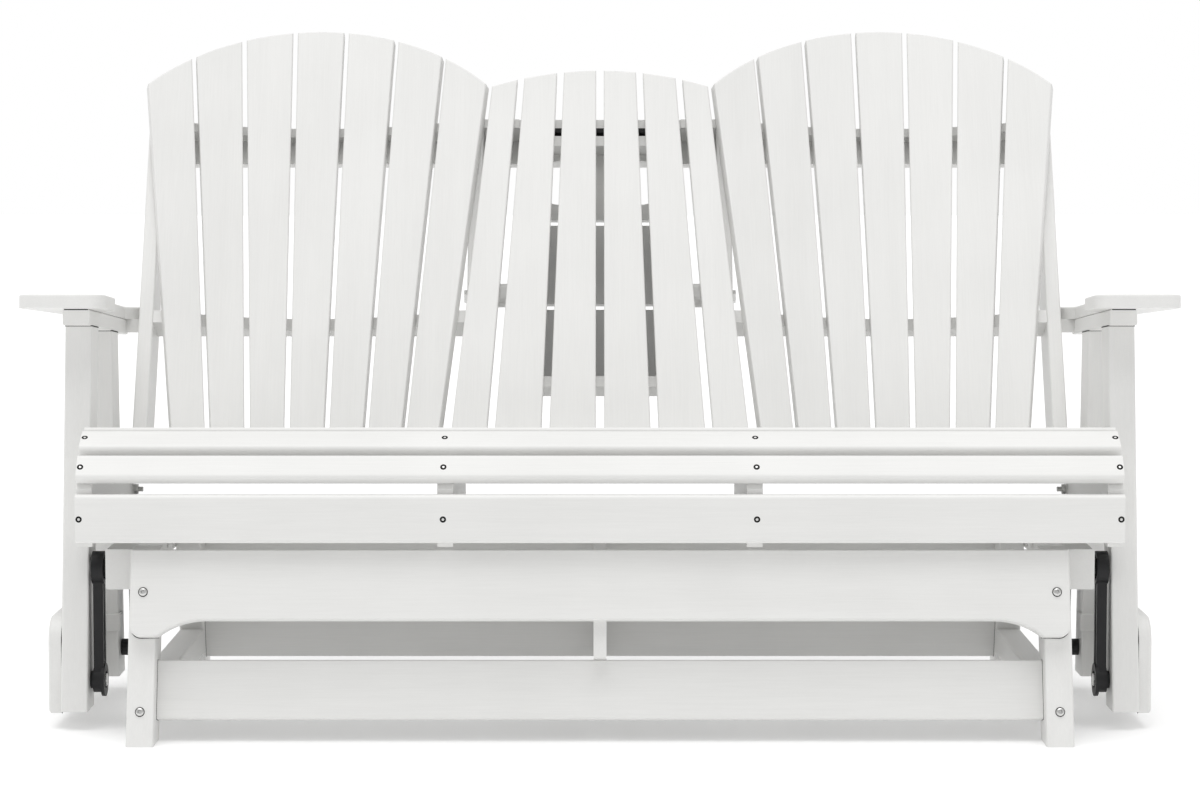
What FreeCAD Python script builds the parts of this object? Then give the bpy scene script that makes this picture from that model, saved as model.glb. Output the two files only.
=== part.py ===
import FreeCAD, Part
import math
import os
from FreeCAD import Placement, Rotation, Vector

# Two-seat glider bench in poly lumber: a fixed base, four swinging links, a
# seat with two fan backs, and a centre back section that folds into a table.
# Millimetres, +Z up, the sitter faces -Y.  The pieces are placed from the front
# edge of the front feet and moved to the bottom centre of the whole at the end.

# Lumber sizes
POST_T = 38.1            # thickness of legs, posts and base rails
POST_D = 63.5            # depth of legs and posts
BOARD_T = 22.0           # thickness of apron, seat rails and back posts
SLAT_T = 19.0            # thickness of slats, arms and side boards
RAIL_T = 25.0            # thickness of the cross rails of the back
EDGE_R = 3.0             # rounding of the long edges

# Base
BASE_HALF_W = 653.0      # outer faces of the legs
BASE_DEPTH = 684.0       # front edge of front feet to rear edge of rear feet
LEG_LEAN = 15.0          # degrees
APRON_INSET = 4.0        # apron end inside the outer face of the leg
APRON_H = 121.0          # along the slope, ear included
APRON_ARCH = 23.0        # rise of the lower edge above the ears
EAR_W = 38.0
EAR_R = 14.0             # rounded outer corner of an ear
COVE_R = 105.0
STRETCHER_H = 82.6
STRETCHER_Z = 41.5       # lower edge, along the slope
STRETCHER_BACK = 27.0    # set back from the front face of the leg
SIDE_RAIL_H = 56.5
SIDE_RAIL_START = 92.0   # from the front edge of the feet
LOW_RAIL_H = 38.1
LOW_RAIL_TOP = 75.0
BRACE_T = 18.0

# Links and pivots
LOWER_PIVOT_Z = 67.5     # seat pivots above the floor
LINK_LENGTH = 160.5
PIVOT_DROP = 35.0        # base pivots below the top of the base
LINK_T = 14.0
LINK_W = 26.0
LINK_HEAD_T = 17.0
LINK_UPPER_R = 23.5
LINK_LOWER_R = 18.0
LINK_FLANGE_R = 23.5     # inner flange of the lower hub
LINK_FLANGE_T = 5.0
LINK_BOSS_R = 12.5
FRONT_LINK_OFF = 13.0    # link's middle to the seat post
REAR_LINK_OFF = 20.5
LINK_GROOVE_W = 10.0
LINK_GROOVE_D = 3.0
PIVOT_R = 6.0
RUN_FIT = 0.05           # radial, turning on a bolt
BOLT_FIT = 0.1           # radial, bolt in a fixed hole
RUN_GAP = 0.4            # side clearance of turning faces
BOLT_HEAD_R = 10.0
BOLT_HEAD_T = 5.0
RECESS_R = 14.0          # star recess round a bolt head
RECESS_D = 4.0
RECESS_POINTS = 8
NUT_T = 8.0
BOLT_BITE = 33.0         # depth of a lower bolt in its post

# Seat frame
LINK_SPACE = 33.0        # base side rail to seat post
SEAT_CLEAR = 9.0         # seat rails above the base
SEAT_POST_BOTTOM = 27.0
FRONT_POST_LEAN = 8.9
FRONT_POST_Y = 122.0     # front face at the floor line
REAR_POST_LEAN = 3.9
REAR_POST_AHEAD = 179.0  # rear face at the floor line, ahead of the rear feet
SIDE_BOARD_H = 136.0
SIDE_BOARD_Z = 23.0
SIDE_BOARD_FRONT = 143.0
SIDE_BOARD_OVER = 2.0    # past the rear post's foot
SIDE_BOARD_R = 38.0

# Arms
ARM_RISE = 338.0         # top of the front end above the front slat's lower edge
ARM_FRONT = 147.0
ARM_SHORT = 232.0        # arm shorter than the base
ARM_SLOPE = 5.4
ARM_W = 127.0
ARM_OVERHANG = 62.0      # outer edge outside the post
ARM_REAR_W = 56.0
ARM_R = 26.0
ARM_PADDLE = 111.0       # length of the wide front end
ARM_SHOULDER = 40.0      # run from the wide end to the narrow part
ARM_TOE = 28.0           # length of the toe beside the back post
ARM_RAIL_H = 23.0
ARM_RAIL_FRONT = 45.0    # behind the front end of the arm
ARM_RAIL_SHORT = 66.0    # rail shorter than the arm
ARM_INSET = 2.4          # arm's inner rear edge outside the back post

# Seat
SLAT_END_GAP = 1.1       # seat slat to post
SEAT_FACE_Y = 27.0       # front face of the first slat
NOSE_GAP = 24.3          # front slat to nose slat
SLAT_GAP = 13.0
FRONT_SLAT_RISE = 7.0    # front slat above the seat rails' lower edge
FRONT_SLAT_W = 67.0
NOSE_SLAT_W = 39.2
NOSE_TILT = 37.7         # from vertical
CREST_SLAT_W = 45.0
CREST_TILT = 62.0
DECK_TILT = 99.0
DECK_COUNT = 4
DECK_SHORT = 387.0       # run of the deck shorter than the base
DECK_GAP = 9.0
SEAT_RAIL_RISE = 18.0    # rise of the rails' lower edge at the rear
SEAT_RAIL_SHORT = 198.0  # rear end in front of the rear feet
INNER_RAIL_X = 203.0     # inner face of the inner seat rails

# Back
BACK_AHEAD = 237.6       # back plane at the reference height, ahead of the rear feet
BACK_RISE = 168.46        # reference height above the front slat, before the fall of the deck
BACK_LEAN = 27.0
POST_FRONT = 5.0         # posts and centre section behind the back plane
BACK_POST_D = 77.0
BACK_POST_RISE = 53.0    # foot above the seat rails' lower edge
CAP_S = 508.0            # heights along the slope
CAP_T = 14.5
CAP_D = 66.0
TOP_BOARD_S = 468.0
TOP_BOARD_FRONT = 52.0
RAIL_END_INSET = 2.1     # upper rail end inside the outer back post
LOW_RAIL_S = 176.4
LOW_RAIL_D = 54.0
LOW_RAIL_T = 20.0
BOTTOM_RAIL_S = -36.0
BOTTOM_RAIL_D = 55.0
RAIL_SHOULDER = 6.0      # straight run of a cross rail beside the centre slats

# Fans of slats
FAN_COUNT = 7
FAN_STEP = 4.75          # degrees between slats on the hollow curve
FAN_HOLLOW = 37.5
FAN_PITCH = 60.2         # at the reference height
FAN_SPREAD = 17.0 / 551.0
FAN_SLAT_W = 51.2
FAN_SLAT_GROW = 18.0 / 551.0
FAN_TOP = 685.5
FAN_TOP_R = 378.0
FAN_BOTTOM = -34.0
SLAT_EDGE_R = 2.5
SEAT_FIT = 0.05

# Centre section and folding table
CENTRE_TOP = 599.0
CENTRE_TOP_R = 523.0
FIXED_X = 195.1
FIXED_SHIFT = -44.4 / 551.0
FIXED_W = 52.8
FIXED_SHRINK = -13.4 / 551.0
TABLE_X = (40.9, 122.3)
TABLE_SHIFT = (-9.0 / 551.0, -27.8 / 551.0)
TABLE_W = 69.3
TABLE_SHRINK = -17.5 / 551.0
TABLE_BOTTOM = -22.0
TRAY_HALF = 118.0
TRAY_T = 12.5
TRAY_S = ((72.0, 211.6), (221.4, 354.3), (364.2, 493.3))
BATTEN_D = 32.0          # tray boards behind the slats
BATTEN_S = ((70.5, 87.5), (476.5, 493.3))
CUP_X = 62.5
CUP_R = 38.0
CUP_S = 428.0
TABLE_PIVOT_S = 229.0
TABLE_AXIS_D = 22.0      # folding axis behind the slats
TABLE_BLOCK = 36.0
TABLE_CLEAT_X = 88.0     # side cleats that tie the slats and tray boards
TABLE_CLEAT_TOP = 380.0
TABLE_BLOCK_R = 12.0
TABLE_BLOCK_GAP = 3.0    # block to back post
TABLE_BOLT_R = 5.0
TABLE_BOLT_BITE = 28.0
RECESS_HALF = 126.0
RECESS_BACK = 2.0        # cap behind the table slats
BUMPER_S = 500.5
BUMPER_D = 12.0
BUMPER_HALF = 95.0

X_AXIS = Vector(1, 0, 0)
Y_AXIS = Vector(0, 1, 0)
Z_AXIS = Vector(0, 0, 1)
ORIGIN = Vector(0, 0, 0)

# Faces that several pieces share
UPPER_PIVOT_Z = LOWER_PIVOT_Z + LINK_LENGTH
LEG_TOP = UPPER_PIVOT_Z + PIVOT_DROP
FRONT_POST_W = POST_D / math.cos(math.radians(FRONT_POST_LEAN))
REAR_POST_W = POST_D / math.cos(math.radians(REAR_POST_LEAN))
REAR_POST_Y = BASE_DEPTH - REAR_POST_AHEAD - REAR_POST_W
FRONT_PIVOT_Y = FRONT_POST_Y + FRONT_POST_W / 2 + LOWER_PIVOT_Z * math.tan(math.radians(FRONT_POST_LEAN))
REAR_PIVOT_Y = REAR_POST_Y + REAR_POST_W / 2 - LOWER_PIVOT_Z * math.tan(math.radians(REAR_POST_LEAN))
SEAT_RAIL_BOTTOM = LEG_TOP + SEAT_CLEAR
SEAT_RAIL_REAR = BASE_DEPTH - SEAT_RAIL_SHORT
FRONT_SLAT_Z = SEAT_RAIL_BOTTOM + FRONT_SLAT_RISE
DECK_SLAT_W = (BASE_DEPTH - DECK_SHORT - (DECK_COUNT - 1) * DECK_GAP) / DECK_COUNT
ARM_TOP = FRONT_SLAT_Z + ARM_RISE
ARM_LENGTH = BASE_DEPTH - ARM_SHORT
BACK_Y = BASE_DEPTH - BACK_AHEAD
LEG_IN = BASE_HALF_W - POST_T
RAIL_OUT = BASE_HALF_W + POST_T
POST_IN = RAIL_OUT + LINK_SPACE
POST_OUT = POST_IN + POST_T
DECK_FALL = -math.cos(math.radians(DECK_TILT)) * (BASE_DEPTH - DECK_SHORT)
OUTER_BACK_X = POST_IN - BOARD_T          # outer face of the outer back posts
INNER_BACK_X = INNER_RAIL_X               # outer face of the inner back posts
SEAT_HALF_L = POST_IN - SLAT_END_GAP
UPPER_RAIL_HALF = OUTER_BACK_X - RAIL_END_INSET
FAN_X = (OUTER_BACK_X + INNER_BACK_X - BOARD_T) / 2
BACK_Z = FRONT_SLAT_Z + BACK_RISE - DECK_FALL
TABLE_PIVOT_BACK = POST_FRONT + TABLE_AXIS_D
BASE_PLACE = Placement(ORIGIN, Rotation(X_AXIS, -LEG_LEAN))
BACK_PLACE = Placement(Vector(0, BACK_Y, BACK_Z), Rotation(X_AXIS, -BACK_LEAN))

NODES = {}


def polygon(points):
    """Closed face through 3-D points."""
    return Part.Face(Part.makePolygon(points + [points[0]]))


def prism_x(profile, x0, x1):
    """Profile of (y, z) points drawn out from x0 to x1."""
    return polygon([Vector(x0, y, z) for y, z in profile]).extrude(Vector(x1 - x0, 0, 0))


def edges_along(shape, direction):
    """Straight edges parallel to a direction."""
    found = []
    for edge in shape.Edges:
        if isinstance(edge.Curve, Part.Line):
            if edge.tangentAt(edge.FirstParameter).cross(direction).Length < 1e-6:
                found.append(edge)
    return found


def eased(shape, direction, radius=EDGE_R):
    """Round the long edges that run along a direction."""
    return shape.makeFillet(radius, edges_along(shape, direction))


def board(x0, x1, y0, y1, z0, z1, along):
    """Straight board with rounded long edges."""
    box = Part.makeBox(x1 - x0, y1 - y0, z1 - z0, Vector(x0, y0, z0))
    return eased(box, along)


def rod_x(y, z, radius, x0, x1):
    """Cylinder along X."""
    return Part.makeCylinder(radius, x1 - x0, Vector(x0, y, z), X_AXIS)


def hex_x(y, z, radius, x0, x1):
    """Six-sided bolt head or nut along X."""
    rim = [Vector(x0, y + radius * math.cos(k * math.pi / 3), z + radius * math.sin(k * math.pi / 3))
           for k in range(6)]
    return polygon(rim).extrude(Vector(x1 - x0, 0, 0))


def star_x(y, z, radius, points, x0, x1):
    """Star-shaped plug along X, its inner corners at 0.8 of the radius."""
    rim = []
    for k in range(2 * points):
        reach = radius if k % 2 == 0 else 0.8 * radius
        angle = k * math.pi / points
        rim.append(Vector(x0, y + reach * math.cos(angle), z + reach * math.sin(angle)))
    return polygon(rim).extrude(Vector(x1 - x0, 0, 0))


def mirrored(shape):
    """The other side's copy."""
    return shape.mirror(ORIGIN, X_AXIS)


def add_pair(name, right):
    """Store a piece of the right side and its mirror image."""
    NODES[name + "_right"] = right
    NODES[name + "_left"] = mirrored(right)


def placed(shape, place):
    """Copy of a shape moved by a placement."""
    out = shape.copy()
    out.Placement = place.multiply(out.Placement)
    return out


def fore_and_aft(shape):
    """Mirror image of a front base piece at the rear."""
    return shape.mirror(Vector(0, BASE_DEPTH / 2, 0), Y_AXIS)


def leaned_profile(y_floor, lean, depth, z0, z1, cut=0.0):
    """Side view of a leaning member; the top may be cut on a slope."""
    slope = math.tan(math.radians(lean))
    width = depth / math.cos(math.radians(lean))
    front = y_floor + slope * z1
    drop = math.tan(math.radians(cut))
    rear_z = z1 - width * drop / (1 + slope * drop)
    rear = y_floor + width + slope * rear_z
    return [(y_floor + slope * z0, z0), (y_floor + width + slope * z0, z0), (rear, rear_z), (front, z1)]


def leg_slope():
    """Direction of the long edges of a front leg."""
    return BASE_PLACE.Rotation.multVec(Z_AXIS)


def make_legs():
    """Four leaning legs, cut level at both ends."""
    profile = leaned_profile(0.0, LEG_LEAN, POST_D, 0.0, LEG_TOP)
    leg = eased(prism_x(profile, LEG_IN, BASE_HALF_W), leg_slope())
    add_pair("front_leg", leg)
    add_pair("rear_leg", fore_and_aft(leg))


def make_apron():
    """Arched boards on the front and rear faces of the legs."""
    half = BASE_HALF_W - APRON_INSET
    top = LEG_TOP / math.cos(math.radians(LEG_LEAN))
    low = top - APRON_H
    arch = low + APRON_ARCH
    drop = COVE_R - APRON_ARCH
    run = math.sqrt(COVE_R ** 2 - drop ** 2)
    ear = half - EAR_W
    mid = math.radians(90 - 0.5 * math.degrees(math.acos(drop / COVE_R)))
    centre_x = ear - run
    via_x = centre_x + COVE_R * math.cos(mid)
    via_z = arch - COVE_R + COVE_R * math.sin(mid)

    def at(x, z):
        return Vector(x, -BOARD_T, z)

    right = Part.Arc(at(ear, low), at(via_x, via_z), at(centre_x, arch)).toShape()
    left = Part.Arc(at(-centre_x, arch), at(-via_x, via_z), at(-ear, low)).toShape()
    rim = [
        Part.makeLine(at(half, low), at(ear, low)), right,
        Part.makeLine(at(centre_x, arch), at(-centre_x, arch)), left,
        Part.makeLine(at(-ear, low), at(-half, low)),
        Part.makeLine(at(-half, low), at(-half, top)),
        Part.makeLine(at(-half, top), at(half, top)),
        Part.makeLine(at(half, top), at(half, low)),
    ]
    solid = Part.Face(Part.Wire(rim)).extrude(Vector(0, BOARD_T, 0))
    corners = [e for e in edges_along(solid, Y_AXIS)
               if abs(abs(e.CenterOfMass.x) - half) < 0.01 and e.CenterOfMass.z < arch]
    solid = solid.makeFillet(EAR_R, corners)
    front = [e for e in solid.Edges if e.BoundBox.YMax < -BOARD_T + 0.01]
    NODES["front_apron"] = placed(solid.makeFillet(EDGE_R, front), BASE_PLACE)
    NODES["rear_apron"] = fore_and_aft(NODES["front_apron"])


def make_stretchers():
    """Low cross boards between the legs, front and rear."""
    y0 = STRETCHER_BACK
    flat = board(-LEG_IN, LEG_IN, y0, y0 + BOARD_T, STRETCHER_Z, STRETCHER_Z + STRETCHER_H, X_AXIS)
    front = placed(flat, BASE_PLACE)
    NODES["front_stretcher"] = front
    NODES["rear_stretcher"] = fore_and_aft(front)


def make_base_rails():
    """Upper side rails that carry the links, and low rails between the legs."""
    y0, y1 = SIDE_RAIL_START, BASE_DEPTH - SIDE_RAIL_START
    rail = board(BASE_HALF_W, RAIL_OUT, y0, y1, LEG_TOP - SIDE_RAIL_H, LEG_TOP, Y_AXIS)
    for y in (FRONT_PIVOT_Y, REAR_PIVOT_Y):
        hole = rod_x(y, UPPER_PIVOT_Z, PIVOT_R + BOLT_FIT, BASE_HALF_W - 1, RAIL_OUT + 1)
        rail = rail.cut(hole)
    add_pair("base_side_rail", rail)
    slope = math.tan(math.radians(LEG_LEAN))
    face = POST_D / math.cos(math.radians(LEG_LEAN))
    z0, z1 = LOW_RAIL_TOP - LOW_RAIL_H, LOW_RAIL_TOP
    a, b = face + slope * z0, face + slope * z1
    low = prism_x([(a, z0), (BASE_DEPTH - a, z0), (BASE_DEPTH - b, z1), (b, z1)], LEG_IN, BASE_HALF_W)
    add_pair("base_low_rail", eased(low, Y_AXIS))


def make_brace():
    """Upright board along the middle, notched over the stretchers."""
    cos, sin = math.cos(math.radians(LEG_LEAN)), math.sin(math.radians(LEG_LEAN))

    def at(back, up):
        return (back * cos + up * sin, up * cos - back * sin)

    behind = STRETCHER_BACK + BOARD_T
    top = STRETCHER_Z + STRETCHER_H
    high = LEG_TOP / cos - 2 * EDGE_R
    profile = [at(behind, STRETCHER_Z), at(behind, top), at(0, top), at(0, high)]
    rear = [(BASE_DEPTH - y, z) for y, z in reversed(profile)]
    NODES["centre_brace"] = prism_x(profile + rear, -BRACE_T / 2, BRACE_T / 2)


def make_link(pivot_y, mid):
    """Moulded link with two hubs, side grooves and bolt recesses."""
    half, head = LINK_T / 2, LINK_HEAD_T / 2
    z0, z1 = LOWER_PIVOT_Z, UPPER_PIVOT_Z
    x0, x1 = mid - head, mid + head
    body = Part.makeBox(LINK_T, LINK_W, z1 - z0, Vector(mid - half, pivot_y - LINK_W / 2, z0))
    a, b = z0 + LINK_LOWER_R, z1 - LINK_UPPER_R
    for x in (mid - half, mid + half - LINK_GROOVE_D):
        corner = Vector(x, pivot_y - LINK_GROOVE_W / 2, a)
        body = body.cut(Part.makeBox(LINK_GROOVE_D, LINK_GROOVE_W, b - a, corner))
    body = body.fuse(rod_x(pivot_y, z1, LINK_UPPER_R, x0, x1))
    body = body.fuse(rod_x(pivot_y, z0, LINK_LOWER_R, x0, x1))
    body = body.fuse(rod_x(pivot_y, z0, LINK_FLANGE_R, x0, x0 + LINK_FLANGE_T))
    body = body.cut(star_x(pivot_y, z1, LINK_UPPER_R - 4, RECESS_POINTS, x0 - 1, x0 + RECESS_D))
    body = body.fuse(rod_x(pivot_y, z1, LINK_BOSS_R, RAIL_OUT + RUN_GAP, x1 - 1))
    body = body.fuse(rod_x(pivot_y, z0, LINK_BOSS_R, x1 - 1, POST_IN - RUN_GAP))
    body = body.cut(star_x(pivot_y, z1, RECESS_R, RECESS_POINTS, x1 - RECESS_D, x1 + 1))
    body = body.cut(star_x(pivot_y, z0, RECESS_R, RECESS_POINTS, x0 - 1, x0 + RECESS_D))
    for z in (z0, z1):
        body = body.cut(rod_x(pivot_y, z, PIVOT_R + RUN_FIT, RAIL_OUT - 1, POST_IN + 1))
    return body.removeSplitter()


def make_links():
    """Four links and the bolts that they turn on."""
    head = LINK_HEAD_T / 2
    uppers, lowers = [], []
    for name, y, off in (("front", FRONT_PIVOT_Y, FRONT_LINK_OFF), ("rear", REAR_PIVOT_Y, REAR_LINK_OFF)):
        mid = POST_IN - off
        add_pair(name + "_link", make_link(y, mid))
        seat = mid + head - RECESS_D + RUN_GAP
        upper = rod_x(y, UPPER_PIVOT_Z, PIVOT_R, BASE_HALF_W - NUT_T, seat + BOLT_HEAD_T)
        upper = upper.fuse(hex_x(y, UPPER_PIVOT_Z, BOLT_HEAD_R, seat, seat + BOLT_HEAD_T))
        upper = upper.fuse(hex_x(y, UPPER_PIVOT_Z, BOLT_HEAD_R, BASE_HALF_W - NUT_T, BASE_HALF_W))
        uppers += [upper, mirrored(upper)]
        seat = mid - head + RECESS_D - RUN_GAP
        lower = rod_x(y, LOWER_PIVOT_Z, PIVOT_R, seat - BOLT_HEAD_T, POST_IN + BOLT_BITE)
        lower = lower.fuse(hex_x(y, LOWER_PIVOT_Z, BOLT_HEAD_R, seat - BOLT_HEAD_T, seat))
        lowers += [lower, mirrored(lower)]
    NODES["upper_pivot_bolts"] = Part.makeCompound(uppers)
    NODES["lower_pivot_bolts"] = Part.makeCompound(lowers)


def arm_under(y):
    """Height of the arm's lower face at a place along the side."""
    slope = math.tan(math.radians(ARM_SLOPE))
    return ARM_TOP - SLAT_T / math.cos(math.radians(ARM_SLOPE)) - slope * (y - ARM_FRONT)


def make_posts():
    """Seat posts with bolt holes, and the boards that tie their lower ends."""
    drop = ARM_RAIL_H / math.cos(math.radians(ARM_SLOPE))
    for name, foot, lean, pivot in (("front", FRONT_POST_Y, FRONT_POST_LEAN, FRONT_PIVOT_Y),
                                    ("rear", REAR_POST_Y, -REAR_POST_LEAN, REAR_PIVOT_Y)):
        slope = math.tan(math.radians(lean))
        fall = math.tan(math.radians(ARM_SLOPE))
        top = (arm_under(foot) - drop) / (1 + slope * fall)
        profile = leaned_profile(foot, lean, POST_D, SEAT_POST_BOTTOM, top, ARM_SLOPE)
        post = eased(prism_x(profile, POST_IN, POST_OUT), Rotation(X_AXIS, -lean).multVec(Z_AXIS))
        end = POST_IN + BOLT_BITE + BOLT_FIT
        hole = rod_x(pivot, LOWER_PIVOT_Z, PIVOT_R + BOLT_FIT, POST_IN - 1, end)
        add_pair(name + "_post", post.cut(hole))
    length = REAR_POST_Y + REAR_POST_W + SIDE_BOARD_OVER - SIDE_BOARD_FRONT
    corner = Vector(POST_OUT, SIDE_BOARD_FRONT, SIDE_BOARD_Z)
    side = Part.makeBox(SLAT_T, length, SIDE_BOARD_H, corner)
    upper = [e for e in edges_along(side, X_AXIS) if e.CenterOfMass.z > SIDE_BOARD_Z + SIDE_BOARD_H / 2]
    side = side.makeFillet(SIDE_BOARD_R, upper)
    outer = [e for e in side.Edges if e.BoundBox.XMin > POST_OUT + SLAT_T - 0.01]
    add_pair("low_side_board", side.makeChamfer(EDGE_R, outer))


def make_arms():
    """Paddle-shaped arm boards on rails that cap the posts and meet the back posts."""
    outer = POST_OUT + ARM_OVERHANG
    inner_rear = OUTER_BACK_X + ARM_INSET
    toe = ARM_LENGTH - ARM_TOE
    outline = polygon([
        Vector(outer - ARM_W, 0, 0), Vector(outer, 0, 0),
        Vector(inner_rear + ARM_REAR_W, ARM_LENGTH, 0), Vector(inner_rear, ARM_LENGTH, 0),
        Vector(inner_rear, toe, 0), Vector(POST_IN, toe - ARM_TOE, 0),
        Vector(POST_IN, ARM_PADDLE + ARM_SHOULDER, 0), Vector(outer - ARM_W, ARM_PADDLE, 0),
    ])
    arm = outline.extrude(Vector(0, 0, -SLAT_T))
    front = [e for e in edges_along(arm, Z_AXIS) if e.CenterOfMass.y < ARM_R]
    arm = arm.makeFillet(ARM_R, front)
    top = [e for e in arm.Edges if e.BoundBox.ZMin > -0.01]
    arm = arm.makeFillet(EDGE_R, top)
    place = Placement(Vector(0, ARM_FRONT, ARM_TOP), Rotation(X_AXIS, -ARM_SLOPE))
    add_pair("arm", placed(arm, place))
    y0 = ARM_RAIL_FRONT
    y1 = y0 + ARM_LENGTH - ARM_RAIL_SHORT
    low = -SLAT_T - ARM_RAIL_H
    rail = board(POST_IN, POST_OUT, y0, y1, low, -SLAT_T, Y_AXIS)
    size = (POST_IN - OUTER_BACK_X + EDGE_R, BOARD_T, ARM_RAIL_H - EDGE_R)
    block = Part.makeBox(*size, Vector(OUTER_BACK_X, y1 - BOARD_T, low + EDGE_R))
    add_pair("arm_rail", placed(rail.fuse(block), place))


def line_at(point, tilt):
    """A line of the seat's side view: a point and a unit direction, tilt from vertical."""
    angle = math.radians(tilt)
    return point, (math.sin(angle), math.cos(angle))


def along(line, distance, depth=0.0):
    """Point on a line, moved inward by a depth."""
    (y, z), (dy, dz) = line
    return (y + dy * distance + dz * depth, z + dz * distance - dy * depth)


def cross(first, second, depth):
    """Where two lines meet after both are moved inward."""
    (ay, az), (ady, adz) = along(first, 0.0, depth), first[1]
    (by, bz), (bdy, bdz) = along(second, 0.0, depth), second[1]
    det = ady * bdz - adz * bdy
    t = ((by - ay) * bdz - (bz - az) * bdy) / det
    return (ay + ady * t, az + adz * t)


def seat_lines():
    """Face lines of the front, nose, crest and deck slats, each from its lower end."""
    front = line_at((SEAT_FACE_Y, FRONT_SLAT_Z), 0.0)
    end = along(front, FRONT_SLAT_W)
    half = math.radians(NOSE_TILT / 2)
    start = (end[0] + NOSE_GAP * math.sin(half), end[1] + NOSE_GAP * math.cos(half))
    nose = line_at(start, NOSE_TILT)
    end = along(nose, NOSE_SLAT_W)
    half = math.radians((NOSE_TILT + CREST_TILT) / 2)
    start = (end[0] + SLAT_GAP * math.sin(half), end[1] + SLAT_GAP * math.cos(half))
    crest = line_at(start, CREST_TILT)
    end = along(crest, CREST_SLAT_W)
    half = math.radians((CREST_TILT + DECK_TILT) / 2)
    start = (end[0] + SLAT_GAP * math.sin(half), end[1] + SLAT_GAP * math.cos(half))
    deck = line_at(start, DECK_TILT)
    return front, nose, crest, deck


def seat_slat(line, start, width):
    """One seat slat, its face on a line of the side view."""
    a, b = along(line, start), along(line, start + width)
    c, d = along(line, start + width, SLAT_T), along(line, start, SLAT_T)
    return eased(prism_x([a, b, c, d], -SEAT_HALF_L, SEAT_HALF_L), X_AXIS, 2 * EDGE_R)


def make_seat():
    """Contoured seat rails and the slats across them."""
    front, nose, crest, deck = seat_lines()
    NODES["seat_front_slat"] = seat_slat(front, 0.0, FRONT_SLAT_W)
    NODES["seat_nose_slat"] = seat_slat(nose, 0.0, NOSE_SLAT_W)
    NODES["seat_crest_slat"] = seat_slat(crest, 0.0, CREST_SLAT_W)
    step = DECK_SLAT_W + DECK_GAP
    for i in range(DECK_COUNT):
        NODES["seat_deck_slat_%d" % (i + 1)] = seat_slat(deck, i * step, DECK_SLAT_W)
    face = SEAT_FACE_Y + SLAT_T
    reach = (SEAT_RAIL_REAR - along(deck, 0, SLAT_T)[0]) / deck[1][0]
    profile = [
        (face, SEAT_RAIL_BOTTOM), cross(front, nose, SLAT_T), cross(nose, crest, SLAT_T),
        cross(crest, deck, SLAT_T), along(deck, reach, SLAT_T),
        (SEAT_RAIL_REAR, SEAT_RAIL_BOTTOM + SEAT_RAIL_RISE),
    ]
    outer = prism_x(profile, OUTER_BACK_X, POST_IN)
    add_pair("seat_outer_rail", outer)
    add_pair("seat_inner_rail", prism_x(profile, INNER_RAIL_X, INNER_RAIL_X + BOARD_T))


def fan_radius(s):
    """Radius of the hollow curve of a fan at a height along the slope."""
    edge = math.radians(FAN_STEP * (FAN_COUNT // 2))
    return (FAN_COUNT // 2) * (FAN_PITCH + FAN_SPREAD * s) / math.sin(edge)


def fan_width(s):
    """Width of a fan slat at a height along the slope."""
    return FAN_SLAT_W + FAN_SLAT_GROW * s


def hollow(s, limit=1e9):
    """Half span of a fan at a height, and the curve's depth at its middle and end."""
    half = min(limit, (FAN_COUNT // 2) * (FAN_PITCH + FAN_SPREAD * s) + fan_width(s) / 2)
    radius = math.hypot(fan_radius(s), fan_width(s) / 2) + SEAT_FIT
    middle = FAN_HOLLOW + radius - fan_radius(s)
    return half, middle, middle - radius + math.sqrt(radius ** 2 - half ** 2)


def hollow_arc(x_mid, s, half, middle, end):
    """Arc of a cross rail's front edge behind one fan."""
    a, b, c = Vector(x_mid - half, end, s), Vector(x_mid, middle, s), Vector(x_mid + half, end, s)
    return Part.Arc(a, b, c).toShape()


def drawn_up(edges, points, height):
    """Board from a chain of edges closed by straight runs through the points."""
    for a, b in zip(points, points[1:]):
        edges.append(Part.makeLine(a, b))
    face = Part.Face(Part.Wire(Part.__sortEdges__(edges)))
    return face.extrude(Vector(0, 0, height))


def make_back_posts():
    """Leaning posts up to the cap, lapped over the top board and housed for the end slats."""
    cos, sin = math.cos(math.radians(BACK_LEAN)), math.sin(math.radians(BACK_LEAN))
    y0, y1 = POST_FRONT, POST_FRONT + BACK_POST_D

    def foot(y):
        return (SEAT_RAIL_BOTTOM + BACK_POST_RISE - BACK_Z + y * sin) / cos

    def post(x0, x1):
        flat = prism_x([(y0, foot(y0)), (y1, foot(y1)), (y1, CAP_S), (y0, CAP_S)], x0, x1)
        lap = Vector(x0 - 1, TOP_BOARD_FRONT, TOP_BOARD_S)
        return eased(flat, Z_AXIS).cut(Part.makeBox(x1 - x0 + 2, BACK_POST_D, CAP_S, lap))

    outer = placed(post(OUTER_BACK_X - BOARD_T, OUTER_BACK_X), BACK_PLACE)
    inner = post(INNER_BACK_X - BOARD_T, INNER_BACK_X)
    x0, x1 = INNER_BACK_X - BOARD_T - 1, INNER_BACK_X + 1
    inner = inner.cut(rod_x(TABLE_PIVOT_BACK, TABLE_PIVOT_S, TABLE_BOLT_R + BOLT_FIT, x0, x1))
    inner = placed(inner, BACK_PLACE)
    ends = NODES["fan_slats_right"].Solids
    add_pair("outer_back_post", outer.cut(ends[-1]))
    add_pair("inner_back_post", inner.cut(ends[0]))


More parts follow.
